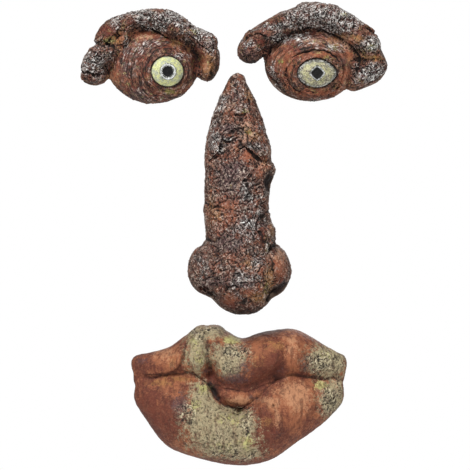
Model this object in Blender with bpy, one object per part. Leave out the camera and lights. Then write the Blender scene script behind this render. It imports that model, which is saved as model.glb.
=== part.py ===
# Tree face sculpture: four painted resin castings, two browed eyes, a nose and a pair of lips,
# that hang separately on a trunk and together make a face. Metres, +Z up, the face looks along
# -Y, and the flat backs all lie in the plane Y = 0. The origin is on the back of the nose.
#
# Each casting is modelled as a clay worker would: domes and rolls stand on the back plane, are
# fused and softened, thinned to fewer triangles and cut flat behind. Then a blind hanging hole is
# drilled in the back, and the nose's nostrils are carved.
# The forms are drawn on squared paper, a set number of squares to the casting's width (to its
# height, for the nose), with (0, 0) in the casting's middle. A form is a line of beads, and each
# bead is (x, z, half width, half height, relief above the back) in squares. One bead is a dome,
# and several make a roll.

import bpy
import bmesh
from math import radians
from mathutils import Matrix, Vector

# Driving dimensions
LEFT_EYE_WIDTH = 0.098
RIGHT_EYE_WIDTH = 0.107
NOSE_HEIGHT = 0.170
LIPS_WIDTH = 0.152

# How the castings stand round the nose, whose middle is the origin
LEFT_EYE_SIDE_GAP = 0.0133  # from the middle line to the eye's inner edge
RIGHT_EYE_SIDE_GAP = -0.0017  # the knob of this brow reaches over the middle line
LEFT_EYE_RISE = 0.0109  # from the top of the nose up to the eye's middle
RIGHT_EYE_RISE = 0.0144
LIPS_GAP = 0.006  # from the bottom of the nose to the top of the lips

# Middle of each hanging hole (x, z) from its casting's middle
EYE_HOLE = (0.002, 0.010)
NOSE_HOLE = (0.0, 0.030)
LIPS_HOLE = (0.0, 0.010)

# Squares across each drawing
LEFT_EYE_SQUARES = 140
RIGHT_EYE_SQUARES = 153
NOSE_SQUARES = 242
LIPS_SQUARES = 217
LIPS_SQUARES_TALL = 144

RIM = 0.003  # height of the steep edge that a casting keeps all round its back
BACKING = 0.003  # clay behind the back plane, cut away at the end
GRAIN = 0.0011  # voxel that fuses the clay
SOFTENING = 5  # smoothing passes after the clay is fused
FACES = 2450  # triangles in each casting before its back is cut
WIDE_DOME = 0.0165  # half width from which a dome is made with finer facets
HOLE_DIAMETER = 0.009
HOLE_DEPTH = 0.011
HOLE_SIDES = 24
CUT_MARGIN = 0.02  # how far a cutting block stands past what it cuts

RESIN_COLOUR = (0.30, 0.13, 0.075)
RESIN_ROUGHNESS = 0.75

LEFT_EYE = {
    "ball of the eye": [(3, -9, 46, 38, 34)],
    "bulge under the iris": [(15, -15, 25, 24, 43)],
    "ground behind the brow": [(2, 14, 50, 26, 24)],
    "outer fold": [
        (-56, -19, 14, 10, 22), (-58, -8, 11, 10, 26), (-52, 1, 13, 10, 29),
        (-41, 6, 13, 9, 30), (-31, 6, 9, 8, 28),
    ],
    "upper fold": [
        (-48, 18, 8, 8, 22), (-43, 24.5, 10, 10, 27), (-35, 29, 12, 10, 31),
        (-25, 33, 12, 10.5, 34),
    ],
    "hollow cheek of the upper fold": [(-40, 22, 13, 11, 26)],
    "strip beside the hollow": [(-23, 31, 9, 10, 35), (-25, 20, 8, 9, 32), (-30, 10, 8, 8, 30)],
    "middle of the brow": [
        (-25, 33, 12, 10.5, 34), (-13, 37.5, 12, 9, 36), (0, 39.5, 13, 8.5, 38),
        (13, 37, 13, 11, 41), (23, 31, 12, 14, 42), (30, 28, 11, 12, 39),
    ],
    "inner end": [
        (30, 28, 11, 12, 39), (40, 22, 11, 9, 35), (50, 17, 12, 10, 34), (56, 15, 12, 10, 32),
    ],
    "inner tail": [
        (52, 10, 13, 10, 31), (58, 2, 12, 11, 30), (60, -8, 10, 10, 27), (57, -17, 8.5, 8, 22),
    ],
}

RIGHT_EYE = {
    "ball of the eye": [(-2, -12, 47, 38, 34)],
    "bulge under the iris": [(4, -23, 25, 21.5, 42)],
    "upper lid": [
        (-23, -24, 5, 6, 28), (-15, -12, 6, 5, 34), (4, -5, 8, 5, 38), (22, -12, 6, 5, 35),
        (30, -26, 5, 6, 28),
    ],
    "lower lid": [
        (-21, -31, 5, 5, 27), (-9, -41, 6, 4.5, 27), (6, -44, 6, 4.5, 27),
        (20, -40, 6, 4.5, 27), (29, -30, 5, 5, 27),
    ],
    "ground behind the brow": [(-1, 9, 50, 28, 24), (38, -8, 22, 24, 23)],
    "inner knob": [(-63, 1, 13.5, 13, 28)],
    "inner end": [
        (-60, 5, 14, 13, 27), (-52, 14, 14, 13, 31), (-42, 20, 13, 14, 34),
        (-30, 27, 13, 13, 37),
    ],
    "middle of the brow": [
        (-30, 27, 13, 13, 37), (-18, 33, 13, 12, 39), (-3, 37, 14, 13, 42), (12, 36, 14, 13, 42),
        (25, 31, 13, 14, 40), (36, 23, 13, 14, 38),
    ],
    "outer fold": [(36, 23, 13, 14, 38), (47, 15, 13, 15, 36), (56, 5, 13, 14, 34)],
    "outer tail": [
        (57, 0, 12, 12, 31), (62, -12, 13, 11, 28), (58, -22, 13, 10, 25), (48, -29, 11, 8, 21),
        (41, -34, 8, 6, 17),
    ],
}

NOSE = {
    "bridge": [
        (-2.5, 108, 11, 12, 13), (-2, 96, 17, 14, 19), (-2, 82, 23, 16, 25),
        (-2, 66, 28, 18, 31), (-1.5, 48, 32, 18, 36), (-1, 33, 34, 18, 39), (0, 20, 34, 18, 41),
        (-1.5, 3, 33, 18, 43), (-2.5, -20, 33, 18, 46), (0.5, -39, 34, 18, 51),
        (2, -57, 37, 18, 58),
    ],
    "left flap": [
        (-4, 84, 16, 13, 28), (-10, 70, 15, 12, 34), (-17, 56, 13, 11, 38.5), (-24, 43, 9, 10, 37),
    ],
    "middle flap": [(-4, 76, 15, 14, 34.5), (-4, 64, 12, 10, 37.5)],
    "right flap": [
        (0, 84, 17, 13, 28), (8, 70, 15, 12, 35), (16, 55, 13, 12, 40), (23, 42, 10, 9, 39),
    ],
    "right knuckle": [(25, 22, 11, 15, 35)],
    "right cheek": [(26, -41, 11, 15, 45)],
    "tip": [(3, -82, 37, 39.5, 69)],
    "slope to the left wing": [(-20, -77, 28, 29, 58)],
    "slope to the right wing": [(16, -79, 26, 29, 61)],
    "left wing": [(-32, -76, 20, 26, 44)],
    "right wing": [(30, -77, 22.5, 28, 46)],
}
# A nostril is (x, z, half width, half height, height above the back) in squares
NOSTRILS = [(-31, -99, 10, 9, 20), (34, -102, 12, 10, 21)]

LIPS = {
    "upper lip, left": [
        (-101, 31, 8, 10, 15), (-89, 30, 11, 13, 20), (-76, 31, 12, 15, 26),
        (-62, 34, 14, 17, 33), (-50, 38, 13, 23, 39), (-39, 42, 13, 27, 42),
    ],
    "upper lip, notch": [(-25, 46, 16, 23, 40)],
    "upper lip, middle": [(-14, 34, 16, 30, 43), (0, 30, 18, 27, 45), (14, 33, 17, 26, 44)],
    "upper lip, right": [
        (14, 35, 14, 25, 43), (26, 39, 14, 25, 43), (39, 41, 14, 25, 40), (53, 41, 14, 26, 38),
        (67, 38, 13, 23, 33), (81, 33.5, 12, 18.5, 27), (94, 31, 11, 14, 21),
        (102, 31, 7, 11, 15),
    ],
    "ground between the lips": [
        (-97, 17, 10, 10, 14), (-80, 17, 14, 10, 19), (-60, 18, 14, 11, 25),
        (-42, 15, 14, 12, 29), (-20, 5, 14, 15, 32), (0, 0, 14, 15, 33), (20, 5, 14, 15, 32),
        (42, 16, 14, 12, 29), (60, 17, 14, 11, 26), (80, 17, 14, 10, 20), (97, 19, 10, 9, 14),
    ],
    "lower lip": [
        (-94, 0, 12, 16, 18), (-82, -8, 15, 26, 26), (-69, -16, 16, 36, 34),
        (-53, -20, 17, 40, 41), (-36, -26, 17, 39, 45), (-18, -37, 17, 32, 46),
        (1, -43, 17, 28, 46), (19, -35, 17, 34, 46), (35, -24, 16, 39, 45),
        (51, -16, 16, 35, 41), (67, -11, 15, 29, 35), (82, -5, 14, 23, 28), (95, 2, 11, 17, 20),
    ],
}


def clear_scene():
    for old in list(bpy.data.objects):
        bpy.data.objects.remove(old, do_unlink=True)


def painted_resin():
    material = bpy.data.materials.new("painted resin")
    material.use_nodes = True
    shader = material.node_tree.nodes["Principled BSDF"]
    shader.inputs["Base Color"].default_value = (*RESIN_COLOUR, 1)
    shader.inputs["Roughness"].default_value = RESIN_ROUGHNESS
    return material


def between(a, b, c, d, share):
    # Catmull-Rom: a smooth value from b to c, with a and d as the neighbours
    return 0.5 * (
        2 * b
        + (c - a) * share
        + (2 * a - 5 * b + 4 * c - d) * share**2
        + (3 * b - a - 3 * c + d) * share**3
    )


def beads_along(beads, steps=5):
    points = [Vector(bead) for bead in beads]
    points = [points[0], *points, points[-1]]
    line = []
    for i in range(1, len(points) - 2):
        for step in range(steps):
            line.append(between(*points[i - 1:i + 3], step / steps))
    return [*line, points[-1]]


def add_dome(clay, unit, x, z, half_width, half_height, relief):
    # An ellipsoid whose widest part is the rim, flattened a little way behind the back plane
    place = Matrix.Translation((x * unit, -RIM, z * unit))
    shape = Matrix.Diagonal((half_width * unit, relief * unit - RIM, half_height * unit, 1))
    rounds = 4 if half_width * unit > WIDE_DOME else 3
    made = bmesh.ops.create_icosphere(clay, subdivisions=rounds, radius=1, matrix=place @ shape)
    for vert in made["verts"]:
        vert.co.y = min(vert.co.y, BACKING)


def mesh_object(name, form):
    mesh = bpy.data.meshes.new(name)
    form.to_mesh(mesh)
    form.free()
    made = bpy.data.objects.new(name, mesh)
    bpy.context.scene.collection.objects.link(made)
    return made


def as_cutter(cutter):
    cutter.hide_render = True
    cutter.display_type = "WIRE"
    return cutter


def cut(casting, cutter, operation):
    boolean = casting.modifiers.new(cutter.name, "BOOLEAN")
    boolean.operation = operation
    boolean.object = cutter


def block_in_front_of_back(name, length):
    # What stands in front of the plane Y = 0, where a casting's back is ground flat
    side = length + 2 * CUT_MARGIN
    form = bmesh.new()
    bmesh.ops.create_cube(form, size=1, matrix=Matrix.Diagonal((side, side, side, 1)))
    bmesh.ops.translate(form, vec=(0, -side / 2, 0), verts=form.verts)
    return as_cutter(mesh_object(name, form))


def hanging_drill(name, hole):
    # A cylinder along Y that leaves a blind hole HOLE_DEPTH deep
    length = HOLE_DEPTH + CUT_MARGIN
    middle = (hole[0], CUT_MARGIN - length / 2, hole[1])
    form = bmesh.new()
    bmesh.ops.create_cone(
        form, cap_ends=True, segments=HOLE_SIDES, radius1=HOLE_DIAMETER / 2,
        radius2=HOLE_DIAMETER / 2, depth=length,
        matrix=Matrix.Translation(middle) @ Matrix.Rotation(radians(90), 4, "X"),
    )
    return as_cutter(mesh_object(name, form))


def hollow(unit, x, z, half_width, half_height, height_above_back):
    # A rounded cavity that breaks out through the surface in front of and below it
    place = Matrix.Translation((x * unit, -height_above_back * unit, z * unit))
    shape = Matrix.Diagonal((half_width * unit, half_width * unit, half_height * unit, 1))
    form = bmesh.new()
    bmesh.ops.create_icosphere(form, subdivisions=2, radius=1, matrix=place @ shape)
    return as_cutter(mesh_object("hollow", form))


def casting(name, forms, length, squares, place, hole, material, hollows=()):
    unit = length / squares
    clay = bmesh.new()
    for beads in forms.values():
        for bead in beads_along(beads) if len(beads) > 1 else beads:
            add_dome(clay, unit, *bead)
    made = mesh_object(name, clay)
    made.data.materials.append(material)

    fuse = made.modifiers.new("fuse", "REMESH")
    fuse.mode = "VOXEL"
    fuse.voxel_size = GRAIN
    fuse.use_smooth_shade = True
    soften = made.modifiers.new("soften", "SMOOTH")
    soften.factor = 0.5
    soften.iterations = SOFTENING

    graph = bpy.context.evaluated_depsgraph_get()
    fused = len(made.evaluated_get(graph).data.loop_triangles)
    thin = made.modifiers.new("thin", "DECIMATE")
    thin.ratio = FACES / fused

    cut(made, block_in_front_of_back(f"{name}_front", length), "INTERSECT")
    cut(made, hanging_drill(f"{name}_drill", hole), "DIFFERENCE")
    for cavity in hollows:
        cut(made, hollow(unit, *cavity), "DIFFERENCE")
    made.location = (place[0], 0, place[1])
    for modifier in made.modifiers:
        if modifier.type == "BOOLEAN":
            modifier.object.location = made.location
    return made


def main():
    clear_scene()
    clay = painted_resin()
    nose_end = NOSE_HEIGHT / 2
    lips_height = LIPS_WIDTH * LIPS_SQUARES_TALL / LIPS_SQUARES
    left = (-LEFT_EYE_WIDTH / 2 - LEFT_EYE_SIDE_GAP, nose_end + LEFT_EYE_RISE)
    right = (RIGHT_EYE_WIDTH / 2 + RIGHT_EYE_SIDE_GAP, nose_end + RIGHT_EYE_RISE)
    below = (0, -nose_end - LIPS_GAP - lips_height / 2)
    casting("left_eye", LEFT_EYE, LEFT_EYE_WIDTH, LEFT_EYE_SQUARES, left, EYE_HOLE, clay)
    casting("right_eye", RIGHT_EYE, RIGHT_EYE_WIDTH, RIGHT_EYE_SQUARES, right, EYE_HOLE, clay)
    casting("nose", NOSE, NOSE_HEIGHT, NOSE_SQUARES, (0, 0), NOSE_HOLE, clay, NOSTRILS)
    casting("lips", LIPS, LIPS_WIDTH, LIPS_SQUARES, below, LIPS_HOLE, clay)


main()
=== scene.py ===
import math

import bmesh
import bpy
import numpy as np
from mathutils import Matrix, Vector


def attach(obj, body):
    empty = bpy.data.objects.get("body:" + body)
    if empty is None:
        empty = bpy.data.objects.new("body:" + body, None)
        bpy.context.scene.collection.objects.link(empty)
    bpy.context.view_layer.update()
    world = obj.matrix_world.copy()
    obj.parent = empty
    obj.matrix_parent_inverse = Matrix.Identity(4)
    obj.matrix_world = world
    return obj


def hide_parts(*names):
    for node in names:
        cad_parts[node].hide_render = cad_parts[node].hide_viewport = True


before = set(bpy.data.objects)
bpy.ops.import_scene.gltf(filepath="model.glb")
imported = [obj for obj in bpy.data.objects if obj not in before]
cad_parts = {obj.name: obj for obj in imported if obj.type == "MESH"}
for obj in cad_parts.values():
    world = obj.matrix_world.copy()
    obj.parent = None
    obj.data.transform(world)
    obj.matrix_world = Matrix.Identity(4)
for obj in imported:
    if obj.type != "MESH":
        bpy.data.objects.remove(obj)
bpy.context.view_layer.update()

# Tree face in painted resin: two browed eyes, a nose and lips, four castings that hang apart.
# Each CAD casting is remeshed finely and carved by moving its points: folds and creases first,
# then bark. The paint follows the carving: dark wash in the small hollows, painted shade in the folds, on the
# sides and in shade patches, pale dry-brush on the crests.
# Carving is measured in squares of the squared paper that the CAD is drawn on, with (0, 0) in the
# casting's middle, across to the right and up. Widths and depths of cuts are in squares too.

square = 0.0007  # metres to a square, which is also what one pixel of the photograph shows
quickGrain = 1.0  # coarser skins while trying things

# Paints as they look on screen: red, green and blue up to 255
paints = {
    "terracotta": (142, 80, 54),
    "brick": (106, 50, 38),
    "umber": (80, 56, 46),
    "plum": (88, 62, 62),
    # deep is dabbed on as mottle, and is also the painted shade in folds and on sides
    "deep": (50, 26, 19),
    "wash": (16, 10, 8),
    # wash darkens pits, hairlines and iris rings, and is also the painted shadow of the shade patches
    "frost": (236, 239, 236),
    "ash": (92, 90, 90),
    "ochre": (156, 108, 64),
    "moss": (146, 140, 66),
    "lime": (184, 180, 116),
    "chalk": (206, 186, 170),
    "clay": (148, 90, 60),
    "tan": (178, 128, 94),
    "clayRed": (98, 48, 35),
    # clayDeep is the lips' deep colour: mottle, and the painted shade in their folds and on their sides
    "clayDeep": (74, 36, 26),
    "lichen": (164, 154, 122),
    "cream": (214, 204, 172),
    "flesh": (190, 144, 120),
    "irisYellow": (206, 210, 146),
    "irisGrey": (168, 176, 154),
    "irisDull": (170, 170, 127),
    "irisShade": (120, 120, 108),
    "pupil": (6, 5, 5),
    "rawResin": (112, 92, 78),
}


def linearColour(name):
    shares = [value / 255 for value in paints[name]]
    linear = [s / 12.92 if s < 0.04045 else ((s + 0.055) / 1.055) ** 2.4 for s in shares]
    return (*linear, 1.0)


def smoothStep(low, high, value):
    share = np.clip((value - low) / (high - low), 0, 1)
    return share * share * (3 - 2 * share)


def passes(count):
    # A coarser skin is smoothed as widely by fewer passes
    return max(1, round(count / quickGrain ** 2))


# Noise for carving

slopes = np.array([(a, b, 0) for a in (-1, 1) for b in (-1, 1)]
                  + [(a, 0, b) for a in (-1, 1) for b in (-1, 1)]
                  + [(0, a, b) for a in (-1, 1) for b in (-1, 1)], float)


def latticeNoise(points, seed):
    # Smooth noise between about -1 and 1, with one bump to a unit
    cell = np.floor(points).astype(np.int64)
    part = points - cell
    ease = part ** 3 * (part * (part * 6 - 15) + 10)
    total = np.zeros(len(points))
    for corner in np.ndindex(2, 2, 2):
        spot = (cell + corner) * (73856093, 19349663, 83492791)
        stir = (spot[:, 0] ^ spot[:, 1] ^ spot[:, 2] ^ (seed * 40503)) & 0xFFFFFFFF
        stir = ((stir ^ (stir >> 15)) * 739981) & 0xFFFFFFFF
        stir = ((stir ^ (stir >> 13)) * 668265) & 0xFFFFFFFF
        slope = slopes[(stir ^ (stir >> 16)) % 12]
        reach = np.where(corner, ease, 1 - ease).prod(axis=1)
        total += reach * ((part - corner) * slope).sum(axis=1)
    return total


def cloudNoise(points, size, seed, octaves=3):
    total = np.zeros(len(points))
    for octave in range(octaves):
        finer = 2 ** octave
        total += latticeNoise(points * (finer / size) + octave * 17.3, seed + octave) / finer
    return total


def wormNoise(points, size, seed, wander=0.5):
    # Crests that wander like worm tracks: 1 along a crest, 0 in the flats between
    bend = [latticeNoise(points * (0.7 / size) + 31.7 * k, seed + k) for k in (1, 2, 3)]
    track = latticeNoise(points / size + wander * np.stack(bend, axis=1), seed)
    return np.clip(1 - np.abs(track) * 3.4, 0, 1)


# A casting's fine skin. Heights and distances are in squares, and smoothing is counted in passes.

skinWork = {
    "settlePasses": 60,  # these round off the CAD's facets
    "flatBelow": 0.15,  # what stands no higher than this is laid on the back plane
    "carvedFrom": (0.2, 3.0),  # carving fades in between these heights above the back
    "holeBeside": (8.0, 10.0),  # and between these distances from the hanging hole's axis,
    "holeAbove": (17.5, 19.0),  # or between these heights over the hole's blind end
    "normalPasses": 6,
    "pitPasses": 10,  # a pit, a fold and a side are judged against a skin smoothed so much
    "foldPasses": 150,
    "sidePasses": 40,
}


class Skin:
    def __init__(self, look):
        self.look = look
        self.middle = np.array((look["middle"][0], 0, look["middle"][1]))
        clay = bpy.data.objects.new("clay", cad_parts[look["node"]].data.copy())
        bpy.context.scene.collection.objects.link(clay)
        remesh = clay.modifiers.new("fine", "REMESH")
        remesh.mode = "VOXEL"
        remesh.voxel_size = look["grain"] * quickGrain
        graph = bpy.context.evaluated_depsgraph_get()
        self.mesh = bpy.data.meshes.new_from_object(clay.evaluated_get(graph))
        bpy.data.objects.remove(clay)
        self.mesh.materials.clear()
        self.count = len(self.mesh.vertices)
        points = np.empty(self.count * 3)
        self.mesh.vertices.foreach_get("co", points)
        self.points = (points.reshape(-1, 3) - self.middle) / square
        edges = np.empty(len(self.mesh.edges) * 2, np.int32)
        self.mesh.edges.foreach_get("vertices", edges)
        self.edges = edges.reshape(-1, 2)
        self.valence = np.bincount(edges, minlength=self.count)[:, None]
        corners = np.empty(len(self.mesh.loops), np.int32)
        self.mesh.loops.foreach_get("vertex_index", corners)
        self.faces = corners.reshape(-1, 4)
        self.settle()

    def settle(self):
        # Round off the CAD's facets, but keep the ground back and its hanging hole crisp
        height = -self.points[:, 1]
        beside = smoothStep(*skinWork["holeBeside"], self.away(self.look["hole"]))
        above = smoothStep(*skinWork["holeAbove"], height)
        self.front = smoothStep(*skinWork["carvedFrom"], height) * np.maximum(beside, above)
        self.points = self.relaxed(self.points, passes(skinWork["settlePasses"]), self.front)
        self.points[-self.points[:, 1] < skinWork["flatBelow"], 1] = 0
        if "dent" in self.look:
            *place, reach, depth = self.look["dent"]
            self.points[(self.away(place) < reach) & (-self.points[:, 1] < depth), 1] = 0

    def away(self, place):
        # Each point's distance from a place on the plan
        return np.hypot(self.points[:, 0] - place[0], self.points[:, 2] - place[1])

    def relaxed(self, points, times, hold=None):
        first, second = self.edges.T
        hold = 0.5 if hold is None else 0.5 * hold[:, None]
        for _ in range(times):
            total = np.empty_like(points)
            for axis in range(points.shape[1]):
                column = points[:, axis]
                total[:, axis] = np.bincount(first, column[second], self.count)
                total[:, axis] += np.bincount(second, column[first], self.count)
            points = points + (total / self.valence - points) * hold
        return points

    def normals(self, points):
        corner = points[self.faces]
        facing = np.cross(corner[:, 2] - corner[:, 0], corner[:, 3] - corner[:, 1])
        total = np.zeros_like(points)
        for turn in range(4):
            for axis in range(3):
                total[:, axis] += np.bincount(self.faces[:, turn], facing[:, axis], self.count)
        return total / np.linalg.norm(total, axis=1, keepdims=True)

    def raiseBy(self, height):
        # Moves the front of the skin out along its own normals
        outward = self.relaxed(self.normals(self.points), skinWork["normalPasses"])
        outward /= np.linalg.norm(outward, axis=1, keepdims=True)
        self.points = self.points + outward * (height * self.front)[:, None]

    def hollows(self, times):
        # How far each point lies below the general surface round it
        calm = self.relaxed(self.points, times)
        return ((calm - self.points) * self.normals(calm)).sum(axis=1)

    def layFlatBack(self):
        # The ground back is flat, so a few long triangles take the place of its fine ones
        shape = bmesh.new()
        shape.from_mesh(self.mesh)
        back = [face for face in shape.faces if all(vertex.co.y == 0 for vertex in face.verts)]
        bmesh.ops.delete(shape, geom=back, context="FACES")
        rim = [edge for edge in shape.edges if edge.is_boundary]
        laid = bmesh.ops.triangle_fill(shape, edges=rim, use_beauty=True, normal=(0, 1, 0))["geom"]
        for face in laid:
            if isinstance(face, bmesh.types.BMFace):
                face.smooth = False
        shape.to_mesh(self.mesh)
        shape.free()

    def finish(self, attributes, paint):
        self.mesh.vertices.foreach_set("co", (self.points * square + self.middle).ravel())
        for name, values in attributes.items():
            layer = self.mesh.attributes.new(name, "FLOAT", "POINT")
            layer.data.foreach_set("value", np.clip(values, -4, 4).astype(np.float32))
        self.mesh.shade_smooth()
        self.layFlatBack()
        self.mesh.materials.append(paint)
        piece = bpy.data.objects.new(self.look["piece"], self.mesh)
        bpy.context.scene.collection.objects.link(piece)
        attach(piece, "root")
        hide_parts(self.look["node"])
        print(self.look["piece"], "has", sum(len(f.vertices) - 2 for f in self.mesh.polygons), "triangles")
        return piece


# Carving tools. Each gives a height in squares at every point of the skin.

def smoothPath(path, steps=6):
    points = np.array([path[0], *path, path[-1]], float)
    line = []
    for a, b, c, d in zip(points[:-3], points[1:-2], points[2:-1], points[3:]):
        for share in np.arange(steps) / steps:
            line.append(0.5 * (2 * b + (c - a) * share + (2 * a - 5 * b + 4 * c - d) * share ** 2
                               + (3 * b - a - 3 * c + d) * share ** 3))
    return np.array([*line, points[-1]])


def alongPath(spots, path, reach):
    # Distance from the path, its side (+1 on the left of the way along) and the share of the way,
    # for the spots within reach of it
    line = smoothPath(path)
    near = ((spots > line.min(axis=0) - reach) & (spots < line.max(axis=0) + reach)).all(axis=1)
    close = spots[near]
    found = np.zeros((3, len(close)))
    found[0] = np.inf
    for i, (start, end) in enumerate(zip(line[:-1], line[1:])):
        run = end - start
        offset = close - start
        share = np.clip(offset @ run / (run @ run), 0, 1)
        distance = np.hypot(*(offset - share[:, None] * run).T)
        side = np.sign(run[0] * offset[:, 1] - run[1] * offset[:, 0])
        way = (i + share) / (len(line) - 1)
        closer = distance < found[0]
        found[:, closer] = np.stack([distance, side, way])[:, closer]
    result = np.zeros((3, len(spots)))
    result[0] = 1000.0  # too far to matter
    result[:, near] = found
    return result


def taper(way, ends=0.15):
    return smoothStep(0, ends, way) * smoothStep(0, ends, 1 - way)


def groove(spots, path, width, depth):
    distance, _, way = alongPath(spots, path, 5 * width)
    banks = 0.3 * np.exp(-((distance - 1.9 * width) / width) ** 2)
    return depth * taper(way) * (banks - np.exp(-(distance / width) ** 2))


def ridge(spots, path, width, height):
    distance, _, way = alongPath(spots, path, 4 * width)
    return height * taper(way) * np.exp(-(distance / width) ** 2)


def flap(spots, path, width, height):
    # An edge that overlaps what lies on the right of the way along
    distance, side, way = alongPath(spots, path, 14 * width)
    over = np.exp(-distance / (3.5 * width))
    under = -0.7 * np.exp(-(distance / width) ** 2)
    onTop = smoothStep(-0.5, 0.5, side * distance)
    return height * taper(way) * (under + onTop * (over - under))


def lump(spots, centre, size, height):
    reach = ((spots - centre) / size) ** 2
    return height * np.exp(-reach.sum(axis=1))


def knot(spots, centre, radius, width, height):
    # A round swirl: a raised ring with a hollow in it
    distance = np.hypot(*(spots - centre).T)
    ring = np.exp(-((distance - radius) / width) ** 2)
    return height * (ring - 0.8 * np.exp(-(distance / (0.5 * radius)) ** 2))


tools = {"groove": groove, "ridge": ridge, "flap": flap, "lump": lump, "knot": knot}


def carve(skin, cuts):
    grid = skin.points
    wobble = [cloudNoise(grid, 9, seed, 2) for seed in (71, 83)]
    spots = grid[:, (0, 2)] + 1.1 * np.stack(wobble, axis=1)  # cuts wander as a hand does
    height = np.zeros(skin.count)
    for tool, *sizes in cuts:
        height += tools[tool](spots, *sizes)
    facing = smoothStep(-0.7, 0.0, -skin.normals(grid)[:, 1])
    skin.raiseBy(height * facing)


def patches(skin, spots):
    # Soft patches of paint: (across, up, half width, half height, strength). A strength below
    # nothing takes paint away from the patches it lies on.
    ruffle = 1 + 0.3 * cloudNoise(skin.points, 7, 57)
    plan = skin.points[:, (0, 2)]
    total = np.zeros(skin.count)
    for across, up, halfWidth, halfHeight, strength in spots:
        reach = (((plan - (across, up)) / (halfWidth, halfHeight)) ** 2).sum(axis=1)
        total += strength * np.exp(-reach * ruffle)
    return np.clip(total, 0, 1.2)


# Sizes of the bark's forms, and how high they stand or how deep they go
barkSize = {"lumps": 15, "cracks": 11, "wide": 6.5, "fine": 3.9, "pits": 3.8}
barkHeight = {"lumps": 2.4, "cracks": 1.5, "wide": 0.7, "fine": 0.9, "pits": 0.9}


def bark(skin, rough, seed):
    # Lumps, wandering crests and pits. Returns how much of a fine crest each point is.
    grid = skin.points
    lumps = cloudNoise(grid, barkSize["lumps"], seed, 2)
    wide = wormNoise(grid, barkSize["wide"], seed + 10)
    fine = wormNoise(grid, barkSize["fine"], seed + 20, 1.0) ** 1.4
    pits = wormNoise(grid + 50, barkSize["pits"], seed + 30, 0.8)
    cracks = wormNoise(grid - 50, barkSize["cracks"], seed + 60, 0.7) ** 2
    calm = 0.45 + 0.55 * smoothStep(0.05, 0.5, -skin.normals(grid)[:, 1])
    relief = barkHeight["lumps"] * lumps - barkHeight["cracks"] * cracks
    relief = relief + barkHeight["wide"] * (wide - 0.35)
    relief = relief + barkHeight["fine"] * (fine - 0.35) - barkHeight["pits"] * pits
    skin.raiseBy(rough * calm * relief)
    return rough * np.maximum(fine, 0.6 * wide)


def rings(skin, centre, strength, seed):
    # Wrinkles that run round the iris, 2.6 squares from one to the next
    across, up = skin.points[:, 0] - centre[0], skin.points[:, 2] - centre[1]
    radius = np.hypot(across, up)
    turn = np.arctan2(up, across)
    swirl = np.stack([radius / 2.6, 3.6 * np.cos(turn), 3.6 * np.sin(turn)], axis=1)
    crest = wormNoise(swirl, 1.0, seed, 0.35)
    lumps = cloudNoise(skin.points, 9, seed + 5, 2)
    skin.raiseBy(strength * (1.1 * (crest - 0.35) + 0.7 * lumps))
    return crest * strength


def onBall(skin, domes):
    # 1 where the skin lies on one of these domes of the CAD, 0 where a brow stands over it
    rim = 4.3  # the CAD's 3 mm rim, in squares
    best = np.zeros(skin.count)
    for across, up, halfWidth, halfHeight, relief in domes:
        reach = (((skin.points[:, (0, 2)] - (across, up)) / (halfWidth, halfHeight)) ** 2).sum(axis=1)
        best = np.maximum(best, rim + (relief - rim) * np.sqrt(np.clip(1 - reach, 0, 1)))
    return 1 - smoothStep(0.8, 3.0, np.abs(-skin.points[:, 1] - best))


# Paint

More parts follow.
